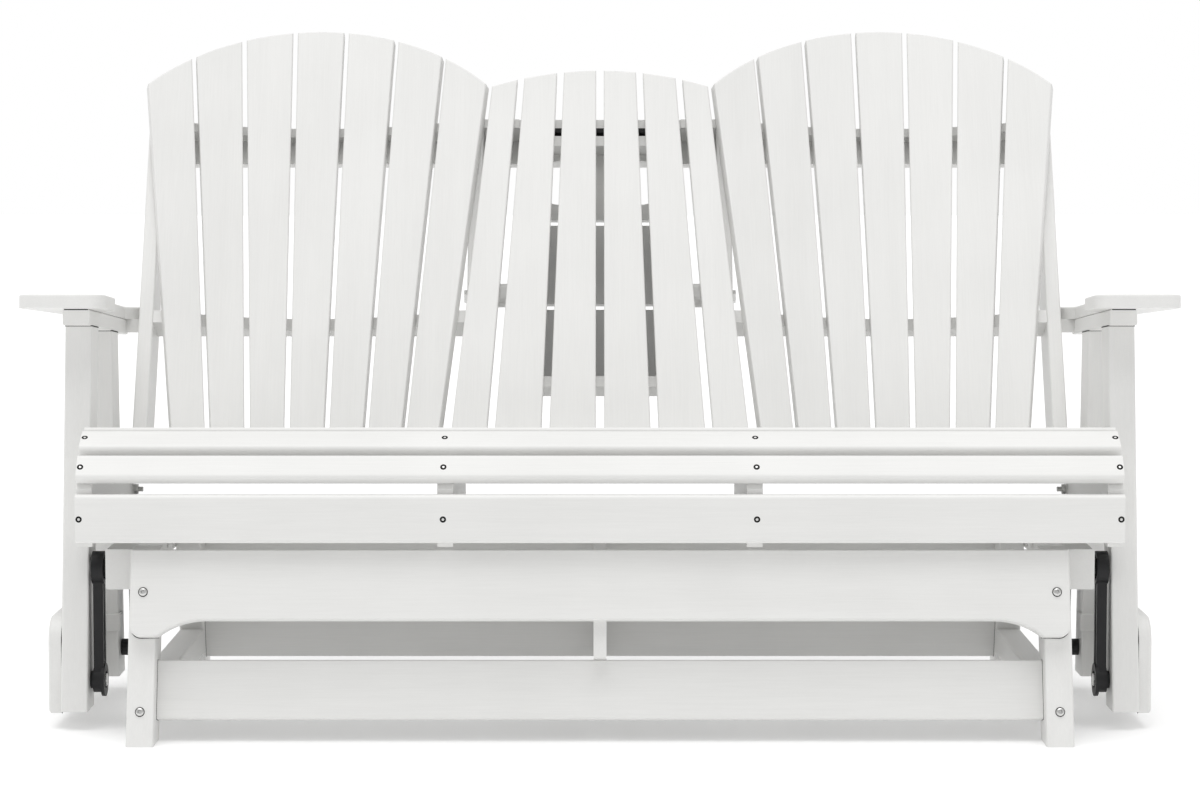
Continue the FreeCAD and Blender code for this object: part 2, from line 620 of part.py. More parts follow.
def make_cross_rails():
    """Hollowed rails behind the fans, the top board and the bumper of the folding section."""
    s = CAP_S
    half, middle, end = hollow(s + CAP_T, UPPER_RAIL_HALF - FAN_X)
    back = POST_FRONT + RECESS_BACK
    inner = INNER_BACK_X - BOARD_T

    def at(x, y):
        return Vector(x, y, s)

    arcs = [hollow_arc(-FAN_X, s, half, middle, end), hollow_arc(FAN_X, s, half, middle, end)]
    chain = [at(-FAN_X + half, end), at(-inner + 2, POST_FRONT), at(-RECESS_HALF, POST_FRONT),
             at(-RECESS_HALF, back), at(RECESS_HALF, back), at(RECESS_HALF, POST_FRONT),
             at(inner - 2, POST_FRONT), at(FAN_X - half, end)]
    outside = [at(FAN_X + half, end), at(UPPER_RAIL_HALF, CAP_D), at(-UPPER_RAIL_HALF, CAP_D),
               at(-FAN_X - half, end)]
    for a, b in zip(chain, chain[1:]):
        arcs.append(Part.makeLine(a, b))
    cap = drawn_up(arcs, outside, CAP_T)
    corner = Vector(-UPPER_RAIL_HALF, TOP_BOARD_FRONT, TOP_BOARD_S)
    lower = Part.makeBox(2 * UPPER_RAIL_HALF, TRAY_T, CAP_S - TOP_BOARD_S, corner)
    NODES["back_upper_rail"] = placed(Part.makeCompound([cap, lower]), BACK_PLACE)
    bump = Part.makeBox(2 * BUMPER_HALF, BUMPER_D, CAP_S - BUMPER_S, Vector(-BUMPER_HALF, back, BUMPER_S))
    NODES["back_bumper"] = placed(bump, BACK_PLACE)
    outer, front = OUTER_BACK_X - BOARD_T, POST_FRONT
    for name, s, deep, thick, inner in (
            ("back_low_rail", LOW_RAIL_S, LOW_RAIL_D, LOW_RAIL_T, INNER_BACK_X),
            ("back_bottom_rail", BOTTOM_RAIL_S, BOTTOM_RAIL_D, RAIL_T, INNER_RAIL_X + BOARD_T)):
        half, middle, end = hollow(s + thick)
        chain = [Vector(FAN_X + half, end, s), Vector(outer, front, s), Vector(outer, front + deep, s),
                 Vector(inner, front + deep, s), Vector(inner, front, s),
                 Vector(inner + RAIL_SHOULDER, front, s), Vector(FAN_X - half, end, s)]
        rail = drawn_up([hollow_arc(FAN_X, s, half, middle, end)], chain, thick)
        add_pair(name, placed(rail, BACK_PLACE))


def slat(outline_bottom, width, grow, centre, radius):
    """Tapered slat with an arched top; centre is the arch's centre in the slat's plane."""
    cx, cz = centre
    grow_half = grow / 2
    tops = []
    for side in (-1, 1):
        x_at, z_at = side * width / 2, 0.0
        dx, dz = side * grow_half, 1.0
        a = dx * dx + dz * dz
        b = 2 * (dx * (x_at - cx) + dz * (z_at - cz))
        c = (x_at - cx) ** 2 + (z_at - cz) ** 2 - radius ** 2
        t = (-b + math.sqrt(b * b - 4 * a * c)) / (2 * a)
        tops.append((x_at + dx * t, t))
    (xl, zl), (xr, zr) = tops
    xm = (xl + xr) / 2
    zm = cz + math.sqrt(radius ** 2 - (xm - cx) ** 2)
    wb = width / 2 + grow_half * outline_bottom
    left, right = Vector(-wb, 0, outline_bottom), Vector(wb, 0, outline_bottom)
    top_left, top_right = Vector(xl, 0, zl), Vector(xr, 0, zr)
    rim = [Part.makeLine(left, right), Part.makeLine(right, top_right),
           Part.Arc(top_right, Vector(xm, 0, zm), top_left).toShape(), Part.makeLine(top_left, left)]
    solid = Part.Face(Part.Wire(rim)).extrude(Vector(0, -SLAT_T, 0))
    front = [e for e in solid.Edges if e.BoundBox.YMax < -SLAT_T + 0.01]
    front = [e for e in front if e.CenterOfMass.z > outline_bottom + 1]
    return solid.makeFillet(SLAT_EDGE_R, front)


def make_fans():
    """Seven slats a side, set on a hollow cone."""
    grow = fan_radius(1.0) - fan_radius(0.0)
    slats = []
    for i in range(FAN_COUNT):
        angle = math.radians(FAN_STEP * (i - FAN_COUNT // 2))
        depth = FAN_HOLLOW - fan_radius(0.0) * (1 - math.cos(angle))
        start = Vector(fan_radius(0.0) * math.sin(angle), depth, 0)
        rise = Vector(grow * math.sin(angle), -grow * (1 - math.cos(angle)), 1).normalize()
        side = Vector(math.cos(angle), -math.sin(angle), 0)
        turn = Rotation(side, Vector(0, 0, 0), rise, "ZXY")
        to_centre = Vector(0, FAN_HOLLOW, FAN_TOP - FAN_TOP_R) - start
        centre = (to_centre.dot(turn.multVec(X_AXIS)), to_centre.dot(turn.multVec(Z_AXIS)))
        piece = slat(FAN_BOTTOM, FAN_SLAT_W, FAN_SLAT_GROW, centre, FAN_TOP_R)
        start = start + Vector(FAN_X, 0, 0)
        slats.append(placed(placed(piece, Placement(start, turn)), BACK_PLACE))
    add_pair("fan_slats", Part.makeCompound(slats))


def centre_slat(x, shift, width, grow, bottom):
    """Slat of the centre section, leaning towards the middle."""
    rise = Vector(shift, 0, 1).normalize()
    turn = Rotation(Vector(1, 0, -shift), Vector(0, 0, 0), rise, "ZXY")
    start = Vector(x, POST_FRONT, 0)
    to_centre = Vector(0, POST_FRONT, CENTRE_TOP - CENTRE_TOP_R) - start
    centre = (to_centre.dot(turn.multVec(X_AXIS)), to_centre.dot(turn.multVec(Z_AXIS)))
    piece = slat(bottom, width, grow, centre, CENTRE_TOP_R)
    return placed(placed(piece, Placement(start, turn)), BACK_PLACE)


def make_centre():
    """Fixed slats beside the folding section."""
    right = centre_slat(FIXED_X, FIXED_SHIFT, FIXED_W, FIXED_SHRINK, FAN_BOTTOM)
    NODES["fixed_centre_slats"] = Part.makeCompound([right, mirrored(right)])


def make_table():
    """Folding section: slats, tray boards with cup holes, battens and pivot blocks."""
    slats = []
    for x, shift in zip(TABLE_X, TABLE_SHIFT):
        right = centre_slat(x, shift, TABLE_W, TABLE_SHRINK, TABLE_BOTTOM)
        slats += [right, mirrored(right)]
    NODES["table_slats"] = Part.makeCompound(slats)
    mid = POST_FRONT + BATTEN_D

    def cross_board(span, depth, thick):
        solid = Part.makeBox(2 * TRAY_HALF, thick, span[1] - span[0], Vector(-TRAY_HALF, depth, span[0]))
        rear = [e for e in solid.Edges if e.BoundBox.YMin > depth + thick - 0.01]
        return solid.makeChamfer(SLAT_EDGE_R, rear) if depth == mid else solid

    low = BATTEN_S[0][1]
    cleat = Part.makeBox(BOARD_T, BATTEN_D, TABLE_CLEAT_TOP - low, Vector(TABLE_CLEAT_X, POST_FRONT, low))
    ties = [cross_board(span, POST_FRONT, BATTEN_D) for span in BATTEN_S] + [cleat, mirrored(cleat)]
    NODES["table_battens"] = placed(Part.makeCompound(ties), BACK_PLACE)
    boards = [cross_board(span, mid, TRAY_T) for span in TRAY_S]
    cups = boards.pop()
    for x in (-CUP_X, CUP_X):
        cups = cups.cut(Part.makeCylinder(CUP_R, TRAY_T + 2, Vector(x, mid - 1, CUP_S), Y_AXIS))
    NODES["table_cup_board"] = placed(cups, BACK_PLACE)
    NODES["table_tray_boards"] = placed(Part.makeCompound(boards), BACK_PLACE)
    axis_y = TABLE_PIVOT_BACK
    face = INNER_BACK_X - BOARD_T - TABLE_BLOCK_GAP
    start = TABLE_CLEAT_X + BOARD_T
    corner = Vector(start, axis_y - TABLE_BLOCK / 2, TABLE_PIVOT_S - TABLE_BLOCK / 2)
    block = Part.makeBox(face - start, mid - corner.y, TABLE_BLOCK, corner)
    block = eased(block, X_AXIS, TABLE_BLOCK_R)
    deep = face - TABLE_BOLT_BITE - RUN_GAP
    block = block.cut(rod_x(axis_y, TABLE_PIVOT_S, TABLE_BOLT_R + RUN_FIT, deep, face + 1))
    block = placed(block, BACK_PLACE)
    NODES["table_pivot_blocks"] = Part.makeCompound([block, mirrored(block)])
    bolt = rod_x(axis_y, TABLE_PIVOT_S, TABLE_BOLT_R, face - TABLE_BOLT_BITE, INNER_BACK_X + BOLT_HEAD_T)
    bolt = bolt.fuse(hex_x(axis_y, TABLE_PIVOT_S, BOLT_HEAD_R, INNER_BACK_X, INNER_BACK_X + BOLT_HEAD_T))
    bolt = placed(bolt, BACK_PLACE)
    NODES["table_pivot_bolts"] = Part.makeCompound([bolt, mirrored(bolt)])


def main():
    """Build every piece, centre the whole and write one file a piece."""
    make_legs()
    make_apron()
    make_stretchers()
    make_base_rails()
    make_brace()
    make_links()
    make_posts()
    make_arms()
    make_seat()
    make_fans()
    make_back_posts()
    make_cross_rails()
    make_centre()
    make_table()
    boxes = [shape.optimalBoundingBox(False, False) for shape in NODES.values()]
    y_mid = (min(b.YMin for b in boxes) + max(b.YMax for b in boxes)) / 2
    os.makedirs("parts", exist_ok=True)
    for name, shape in NODES.items():
        shape.translate(Vector(0, -y_mid, 0))
        shape.exportStep("parts/%s.step" % name)
        if not shape.isValid():
            print("not valid:", name)
    axis = BACK_PLACE.multVec(Vector(0, TABLE_PIVOT_BACK, TABLE_PIVOT_S))
    cup = BACK_PLACE.multVec(Vector(CUP_X, POST_FRONT + BATTEN_D + TRAY_T / 2, CUP_S))
    print("pieces", len(NODES), "solids", sum(len(n.Solids) for n in NODES.values()))
    print("y shift", -y_mid)
    print("size", max(b.XMax for b in boxes) * 2, max(b.YMax for b in boxes) - min(b.YMin for b in boxes),
          max(b.ZMax for b in boxes), "lowest", min(b.ZMin for b in boxes))
    print("front pivots y", FRONT_PIVOT_Y - y_mid, "rear", REAR_PIVOT_Y - y_mid,
          "z", UPPER_PIVOT_Z, LOWER_PIVOT_Z, "x", POST_IN - FRONT_LINK_OFF, POST_IN - REAR_LINK_OFF)
    print("table pivot y z", axis.y - y_mid, axis.z, "cup", cup.x, cup.y - y_mid, cup.z)


main()
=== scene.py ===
"""Looks of a white slatted garden glider: lumber finishes, fasteners, floor, light and camera."""
import logging
import math
from dataclasses import dataclass
from enum import Enum, IntEnum
from typing import Sequence

import bmesh
import bpy
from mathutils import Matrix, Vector


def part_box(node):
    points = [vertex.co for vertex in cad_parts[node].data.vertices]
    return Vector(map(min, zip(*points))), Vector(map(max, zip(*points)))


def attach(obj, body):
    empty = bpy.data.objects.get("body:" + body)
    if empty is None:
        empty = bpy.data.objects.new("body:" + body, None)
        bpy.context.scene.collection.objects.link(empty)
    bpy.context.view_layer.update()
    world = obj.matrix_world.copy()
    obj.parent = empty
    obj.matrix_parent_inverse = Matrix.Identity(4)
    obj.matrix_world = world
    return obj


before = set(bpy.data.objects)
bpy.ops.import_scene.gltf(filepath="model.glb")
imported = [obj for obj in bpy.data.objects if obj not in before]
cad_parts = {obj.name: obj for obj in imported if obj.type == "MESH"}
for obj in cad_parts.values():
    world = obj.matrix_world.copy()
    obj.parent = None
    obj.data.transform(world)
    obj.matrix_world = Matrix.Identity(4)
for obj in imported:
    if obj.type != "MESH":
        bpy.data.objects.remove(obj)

LOG = logging.getLogger("glider")
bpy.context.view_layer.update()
MM = 0.001
LEG_LEAN = math.radians(15.0)
LEAN_COS, LEAN_SIN = math.cos(LEG_LEAN), math.sin(LEG_LEAN)
POST_MIDDLE = 743.0  # sideways place of the seat posts
CLEAR = 900.0  # start of a probing line, off the piece that it meets
ANYWHERE = 5000.0  # limit that no point reaches
SIDES = ((-1.0, "left"), (1.0, "right"))

Colour = tuple[float, float, float, float]


class Grain(Enum):
    """Way in which the brushed grain of a board runs, as turns of the pattern in degrees."""

    ACROSS = ()
    FORE_AFT = ((0.0, 0.0, 90.0),)
    UPRIGHT = ((0.0, 90.0, 0.0),)
    BACKREST = ((-27.0, 0.0, 0.0), (0.0, 90.0, 0.0))


class Body(Enum):
    """Moving bodies that pieces ride on."""

    BASE = "base"
    SEAT = "seat"


class Slot(Enum):
    """Material slots of the record that new pieces take."""

    LUMBER = "white_lumber"
    RUBBER = "black_rubber"
    STEEL = "stainless"


class NodeGroups:
    """Shader effects that several finishes share, each built once."""

    streak_share = 0.55
    streak_detail = 5.0
    streak_roughness = 0.62
    broad_share = 0.45
    broad_scale = 34.0
    broad_detail = 3.0
    mottle_detail = 2.0

    def __init__(self) -> None:
        """Build both effects."""
        self.brushed = self._brushed_grain()
        self.mottle = self._mottle()

    @staticmethod
    def _socket(tree: bpy.types.NodeTree, name: str, kind: str, inward: bool,
                value: float | None = None) -> None:
        """Add one named socket to a group.

        Args:
            tree: The node group.
            name: Socket name.
            kind: Socket type without its prefix, such as Float.
            inward: True for an input.
            value: Default of a number input.
        """
        way = "INPUT" if inward else "OUTPUT"
        socket = tree.interface.new_socket(name, in_out=way, socket_type="NodeSocket" + kind)
        if value is not None:
            socket.default_value = value

    def _start(self, name: str) -> tuple[bpy.types.NodeTree, bpy.types.Node, bpy.types.Node]:
        """Make an empty group with its end nodes.

        Args:
            name: Group name.

        Returns:
            The tree, its input node and its output node.
        """
        tree = bpy.data.node_groups.new(name, "ShaderNodeTree")
        return tree, tree.nodes.new("NodeGroupInput"), tree.nodes.new("NodeGroupOutput")

    def _brushed_grain(self) -> bpy.types.NodeTree:
        """Fine embossed streaks that run along the first axis of the coordinates.

        Returns:
            A group with the outputs Tone and Height.
        """
        tree, start, end = self._start("brushed_grain")
        self._socket(tree, "Along", "Vector", True)
        self._socket(tree, "Fineness", "Float", True, 260.0)
        self._socket(tree, "Stretch", "Float", True, 0.03)
        self._socket(tree, "Tone", "Float", False)
        self._socket(tree, "Height", "Float", False)
        squeeze = tree.nodes.new("ShaderNodeCombineXYZ")
        squeeze.inputs[1].default_value = 1.0
        squeeze.inputs[2].default_value = 1.0
        tree.links.new(start.outputs["Stretch"], squeeze.inputs[0])
        scaled = tree.nodes.new("ShaderNodeVectorMath")
        scaled.operation = "MULTIPLY"
        tree.links.new(start.outputs["Along"], scaled.inputs[0])
        tree.links.new(squeeze.outputs[0], scaled.inputs[1])
        streaks = tree.nodes.new("ShaderNodeTexNoise")
        streaks.inputs["Detail"].default_value = self.streak_detail
        streaks.inputs["Roughness"].default_value = self.streak_roughness
        tree.links.new(scaled.outputs[0], streaks.inputs["Vector"])
        tree.links.new(start.outputs["Fineness"], streaks.inputs["Scale"])
        broad = tree.nodes.new("ShaderNodeTexNoise")
        broad.inputs["Scale"].default_value = self.broad_scale
        broad.inputs["Detail"].default_value = self.broad_detail
        tree.links.new(scaled.outputs[0], broad.inputs["Vector"])
        blend = tree.nodes.new("ShaderNodeMath")
        blend.operation = "MULTIPLY_ADD"
        blend.inputs[1].default_value = self.broad_share
        tree.links.new(broad.outputs[0], blend.inputs[0])
        share = tree.nodes.new("ShaderNodeMath")
        share.operation = "MULTIPLY"
        share.inputs[1].default_value = self.streak_share
        tree.links.new(streaks.outputs[0], share.inputs[0])
        tree.links.new(share.outputs[0], blend.inputs[2])
        tree.links.new(blend.outputs[0], end.inputs["Tone"])
        tree.links.new(streaks.outputs[0], end.inputs["Height"])
        return tree

    def _mottle(self) -> bpy.types.NodeTree:
        """Soft cloudy variation with a little fine speck.

        Returns:
            A group with the outputs Cloud and Speck.
        """
        tree, start, end = self._start("mottle")
        self._socket(tree, "Place", "Vector", True)
        self._socket(tree, "Cloud Scale", "Float", True, 5.0)
        self._socket(tree, "Speck Scale", "Float", True, 900.0)
        self._socket(tree, "Cloud", "Float", False)
        self._socket(tree, "Speck", "Float", False)
        for word in ("Cloud", "Speck"):
            noise = tree.nodes.new("ShaderNodeTexNoise")
            noise.inputs["Detail"].default_value = self.mottle_detail
            tree.links.new(start.outputs["Place"], noise.inputs["Vector"])
            tree.links.new(start.outputs[word + " Scale"], noise.inputs["Scale"])
            tree.links.new(noise.outputs[0], end.inputs[word])
        return tree


class MaterialSheet:
    """One material under construction, with short calls for its nodes."""

    def __init__(self, name: str) -> None:
        """Start a plain material.

        Args:
            name: Material name.
        """
        self.material = bpy.data.materials.new(name)
        self.material.use_nodes = True
        self.nodes = self.material.node_tree.nodes
        self.links = self.material.node_tree.links
        self.shader = self.nodes["Principled BSDF"]
        self.place = self.nodes.new("ShaderNodeTexCoord").outputs["Object"]

    def group(self, tree: bpy.types.NodeTree, place: bpy.types.NodeSocket, **values: float) -> bpy.types.Node:
        """Place a shared effect.

        Args:
            tree: The node group.
            place: Coordinates for its first input.
            **values: Inputs by name, with _ for a space.

        Returns:
            The group node.
        """
        node = self.nodes.new("ShaderNodeGroup")
        node.node_tree = tree
        self.links.new(place, node.inputs[0])
        for name, value in values.items():
            node.inputs[name.replace("_", " ")].default_value = value
        return node

    def turned(self, grain: Grain) -> bpy.types.NodeSocket:
        """Coordinates turned so that the first axis runs along the grain.

        Args:
            grain: The run of the grain.

        Returns:
            A vector socket.
        """
        place = self.place
        for turn in grain.value:
            node = self.nodes.new("ShaderNodeMapping")
            node.vector_type = "POINT"
            node.inputs["Rotation"].default_value = [math.radians(-a) for a in turn]
            self.links.new(place, node.inputs["Vector"])
            place = node.outputs[0]
        return place

    def ramp(self, factor: bpy.types.NodeSocket, low: Colour, high: Colour, a: float,
             b: float) -> bpy.types.NodeSocket:
        """Colour that changes with a factor.

        Args:
            factor: Value socket.
            low: Colour at the first stop.
            high: Colour at the second stop.
            a: Place of the first stop.
            b: Place of the second stop.

        Returns:
            A colour socket.
        """
        node = self.nodes.new("ShaderNodeValToRGB")
        stops = node.color_ramp.elements
        stops[0].position, stops[0].color = a, low
        stops[1].position, stops[1].color = b, high
        self.links.new(factor, node.inputs[0])
        return node.outputs[0]

    def spread(self, factor: bpy.types.NodeSocket, low: float, high: float) -> bpy.types.NodeSocket:
        """Number that changes with a factor.

        Args:
            factor: Value socket between about 0.3 and 0.7.
            low: Result at 0.3.
            high: Result at 0.7.

        Returns:
            A value socket.
        """
        node = self.nodes.new("ShaderNodeMapRange")
        node.inputs["From Min"].default_value = 0.3
        node.inputs["From Max"].default_value = 0.7
        node.inputs["To Min"].default_value = low
        node.inputs["To Max"].default_value = high
        self.links.new(factor, node.inputs["Value"])
        return node.outputs[0]

    def bump(self, height: bpy.types.NodeSocket, strength: float, distance: float) -> None:
        """Raise the surface by a height.

        Args:
            height: Value socket.
            strength: Part of the effect that shows.
            distance: Depth in metres.
        """
        node = self.nodes.new("ShaderNodeBump")
        node.inputs["Strength"].default_value = strength
        node.inputs["Distance"].default_value = distance
        self.links.new(height, node.inputs["Height"])
        self.links.new(node.outputs[0], self.shader.inputs["Normal"])


@dataclass(frozen=True)
class LumberFinish:
    """White poly lumber with a faint embossed grain."""

    name: str
    grain: Grain
    light: Colour = (0.79, 0.788, 0.774, 1.0)
    deep: Colour = (0.745, 0.743, 0.729, 1.0)
    smooth: float = 0.40
    rough: float = 0.55
    fineness: float = 420.0
    stretch: float = 0.035
    cloud_size: float = 6.0
    cloud_share: float = 0.35
    grain_share: float = 0.65
    stops: tuple[float, float] = (0.36, 0.6)
    relief: tuple[float, float] = (0.22, 0.0006)
    ior: float = 1.49

    def build(self, groups: NodeGroups) -> bpy.types.Material:
        """Make the material.

        Args:
            groups: Shared effects.

        Returns:
            The finished material.
        """
        sheet = MaterialSheet(self.name)
        along = sheet.turned(self.grain)
        grain = sheet.group(groups.brushed, along, Fineness=self.fineness, Stretch=self.stretch)
        cloud = sheet.group(groups.mottle, sheet.place, Cloud_Scale=self.cloud_size)
        mixed = sheet.nodes.new("ShaderNodeMath")
        mixed.operation = "MULTIPLY_ADD"
        mixed.inputs[1].default_value = self.cloud_share
        sheet.links.new(cloud.outputs["Cloud"], mixed.inputs[0])
        weak = sheet.nodes.new("ShaderNodeMath")
        weak.operation = "MULTIPLY"
        weak.inputs[1].default_value = self.grain_share
        sheet.links.new(grain.outputs["Tone"], weak.inputs[0])
        sheet.links.new(weak.outputs[0], mixed.inputs[2])
        colour = sheet.ramp(mixed.outputs[0], self.deep, self.light, *self.stops)
        sheet.links.new(colour, sheet.shader.inputs["Base Color"])
        roughness = sheet.spread(grain.outputs["Tone"], self.smooth, self.rough)
        sheet.links.new(roughness, sheet.shader.inputs["Roughness"])
        sheet.bump(grain.outputs["Height"], *self.relief)
        sheet.shader.inputs["IOR"].default_value = self.ior
        return sheet.material


@dataclass(frozen=True)
class MouldedFinish:
    """Black moulded plastic or rubber with a fine leathery skin."""

    name: str
    tint: Colour
    lift: Colour
    smooth: float
    rough: float
    cloud_size: float = 38.0
    speck_size: float = 1400.0
    stops: tuple[float, float] = (0.35, 0.7)
    relief: tuple[float, float] = (0.25, 0.0004)
    gloss: float = 0.32

    def build(self, groups: NodeGroups) -> bpy.types.Material:
        """Make the material.

        Args:
            groups: Shared effects.

        Returns:
            The finished material.
        """
        sheet = MaterialSheet(self.name)
        skin = sheet.group(groups.mottle, sheet.place, Cloud_Scale=self.cloud_size,
                           Speck_Scale=self.speck_size)
        colour = sheet.ramp(skin.outputs["Cloud"], self.tint, self.lift, *self.stops)
        sheet.links.new(colour, sheet.shader.inputs["Base Color"])
        roughness = sheet.spread(skin.outputs["Cloud"], self.smooth, self.rough)
        sheet.links.new(roughness, sheet.shader.inputs["Roughness"])
        sheet.bump(skin.outputs["Speck"], *self.relief)
        sheet.shader.inputs["Specular IOR Level"].default_value = self.gloss
        return sheet.material


@dataclass(frozen=True)
class SteelFinish:
    """Stainless fasteners with turned marks."""

    name: str
    tint: Colour = (0.62, 0.62, 0.61, 1.0)
    lift: Colour = (0.74, 0.74, 0.73, 1.0)
    smooth: float = 0.22
    rough: float = 0.36
    fineness: float = 900.0
    stretch: float = 0.2
    stops: tuple[float, float] = (0.35, 0.65)
    relief: tuple[float, float] = (0.1, 0.0002)

    def build(self, groups: NodeGroups) -> bpy.types.Material:
        """Make the material.

        Args:
            groups: Shared effects.

        Returns:
            The finished material.
        """
        sheet = MaterialSheet(self.name)
        marks = sheet.group(groups.brushed, sheet.place, Fineness=self.fineness, Stretch=self.stretch)
        colour = sheet.ramp(marks.outputs["Tone"], self.tint, self.lift, *self.stops)
        sheet.links.new(colour, sheet.shader.inputs["Base Color"])
        sheet.shader.inputs["Metallic"].default_value = 1.0
        roughness = sheet.spread(marks.outputs["Tone"], self.smooth, self.rough)
        sheet.links.new(roughness, sheet.shader.inputs["Roughness"])
        sheet.bump(marks.outputs["Height"], *self.relief)
        return sheet.material


class FinishBook:
    """Every finish of the bench, by use."""

    def __init__(self) -> None:
        """Build every finish from one set of shared effects."""
        groups = NodeGroups()
        self.lumber = {g: LumberFinish("white_lumber_" + g.name.lower(), g).build(groups) for g in Grain}
        self.link = MouldedFinish(
            "black_link_moulding", (0.008, 0.008, 0.009, 1.0), (0.015, 0.015, 0.016, 1.0),
            0.38, 0.52).build(groups)
        self.rubber = MouldedFinish(
            "black_rubber_strip", (0.01, 0.01, 0.01, 1.0), (0.02, 0.02, 0.02, 1.0),
            0.6, 0.75).build(groups)
        self.steel = SteelFinish("stainless_fastener").build(groups)
        # Near-black finish that paints shade: counterbores round screw heads, rims under bolt heads, drive
        # recesses and joint contact shadows.
        self.pocket = MouldedFinish(
            "shaded_pocket", (0.005, 0.005, 0.005, 1.0), (0.011, 0.011, 0.01, 1.0),
            0.75, 0.9).build(groups)


@dataclass
class FrameDressing:
    """Finishes of the carried-over frame pieces."""

    book: FinishBook
    across: tuple[str, ...] = (
        "seat_front", "seat_nose", "seat_crest", "seat_deck", "front_apron", "rear_apron", "front_stretcher",
        "rear_stretcher", "back_upper", "back_low", "back_bottom", "table_tray", "table_cup", "table_battens",
        "table_pivot_blocks")
    fore_aft: tuple[str, ...] = (
        "arm", "base_side_rail", "base_low_rail", "low_side_board", "seat_outer", "seat_inner",
        "centre_brace")
    leaning: tuple[str, ...] = ("fan_slats", "fixed_centre", "table_slats", "outer_back", "inner_back")

    def finish_of(self, node: str) -> bpy.types.Material:
        """Pick the finish of one piece.

        Args:
            node: Piece name.

        Returns:
            Its material.
        """
        if "_link_" in node:
            return self.book.link
        if "bolts" in node:
            return self.book.steel
        if node == "back_bumper":
            return self.book.rubber
        runs = ((Grain.ACROSS, self.across), (Grain.BACKREST, self.leaning), (Grain.FORE_AFT, self.fore_aft))
        for grain, names in runs:
            if node.startswith(names):
                return self.book.lumber[grain]
        return self.book.lumber[Grain.UPRIGHT]

    def dress(self) -> None:
        """Give every frame piece its finish."""
        for name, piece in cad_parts.items():
            piece.data.materials.clear()
            piece.data.materials.append(self.finish_of(name))
            LOG.info("%s: %s", name, piece.data.materials[0].name)


class Section(Enum):
    """Outline of one ring of a turned piece."""

    ROUND = 0
    LOBED = 1
    HEX = 2


class Skin(IntEnum):
    """Which of a fastener's two finishes a band has: near-black painted shade, or steel."""

    POCKET = 0
    STEEL = 1


@dataclass(frozen=True)
class Ring:
    """One ring of a turned piece, in millimetres."""

    radius: float
    height: float
    section: Section
    skin: Skin
    lobes: float = 6.0
    lobe_depth: float = 0.16

    def reach(self, angle: float) -> float:
        """Radius at an angle.

        Args:
            angle: Angle round the axis in radians.

        Returns:
            The radius in metres.
        """
        if self.section is Section.LOBED:
            return self.radius * MM * (1.0 + self.lobe_depth * math.cos(self.lobes * angle))
        if self.section is Section.HEX:
            sixth = math.pi / 3.0
            return self.radius * MM / math.cos((angle + sixth / 2.0) % sixth - sixth / 2.0)
        return self.radius * MM


def rings(skin: Skin, *steps: tuple[float, float], section: Section = Section.ROUND) -> tuple[Ring, ...]:
    """Rings of one finish and outline.

    Args:
        skin: Finish of the bands.
        *steps: Radius and height of each ring, in millimetres.
        section: Outline of the rings.

    Returns:
        The rings in order.
    """
    return tuple(Ring(radius, height, section, skin) for radius, height in steps)


@dataclass(frozen=True)
class Spot:
    """Place and facing of one fastener on the surface that carries it."""

    place: tuple[float, float, float]
    facing: tuple[float, float, float]


class Turnery:
    """Turned fasteners gathered into one piece."""

    sides = 36
    sharp_from = math.radians(38.0)

    def __init__(self, name: str, book: FinishBook) -> None:
        """Start an empty piece.

        Args:
            name: Piece name.
            book: Finishes of the bench.
        """
        self.name = name
        # The painted shade finish comes first, then steel.
        self.finishes = (book.pocket, book.steel)
        self.mesh = bmesh.new()

    def turn(self, profile: Sequence[Ring], spot: Spot) -> None:
        """Add one fastener.

        Args:
            profile: Rings from the rim to the middle.
            spot: Where it sits.
        """
        up = Vector(spot.facing).normalized()
        side = up.orthogonal().normalized()
        other = up.cross(side)
        base = Vector(spot.place) * MM
        rows = []
        for ring in profile:
            middle = base + up * (ring.height * MM)
            if ring.radius == 0.0:
                rows.append([self.mesh.verts.new(middle)])
                continue
            row = []
            for k in range(self.sides):
                angle = 2.0 * math.pi * k / self.sides
                away = side * math.cos(angle) + other * math.sin(angle)
                row.append(self.mesh.verts.new(middle + away * ring.reach(angle)))
            rows.append(row)
        for low, high, ring in zip(rows, rows[1:], profile[1:]):
            self._join(low, high, ring)

    def _join(self, low: list[bmesh.types.BMVert], high: list[bmesh.types.BMVert], ring: Ring) -> None:
        """Skin the band between two rings.

        Args:
            low: Corners of the first ring.
            high: Corners of the next ring, or its single middle point.
            ring: The next ring, which gives the finish.
        """
        for k in range(self.sides):
            n = (k + 1) % self.sides
            corners = [low[k], low[n], high[0]] if len(high) == 1 else [low[k], low[n], high[n], high[k]]
            face = self.mesh.faces.new(corners)
            face.material_index = ring.skin.value
            face.smooth = True

    def place(self, body: Body) -> None:
        """Finish the piece and let it ride.

        Args:
            body: Body that carries it.
        """
        data = bpy.data.meshes.new(self.name)
        bmesh.ops.recalc_face_normals(self.mesh, faces=self.mesh.faces)
        self.mesh.to_mesh(data)
        self.mesh.free()
        for finish in self.finishes:
            data.materials.append(finish)
        data.set_sharp_from_angle(angle=self.sharp_from)
        piece = bpy.data.objects.new(self.name, data)
        bpy.context.scene.collection.objects.link(piece)
        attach(piece, body.value)
        LOG.info("%s: %d faces", self.name, len(data.polygons))


def on_surface(node: str, start: tuple[float, float, float], way: tuple[float, float, float]) -> Spot:
    """Find where a line meets a frame piece.

    Args:
        node: Frame piece.
        start: Point off the piece, in millimetres.
        way: Direction of the line.

    Returns:
        The spot on the piece's surface.
    """
    hit, place, facing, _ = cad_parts[node].ray_cast(Vector(start) * MM, Vector(way).normalized())
    if not hit:
        raise ValueError("no surface on " + node)
    return Spot(tuple(place / MM), tuple(facing))


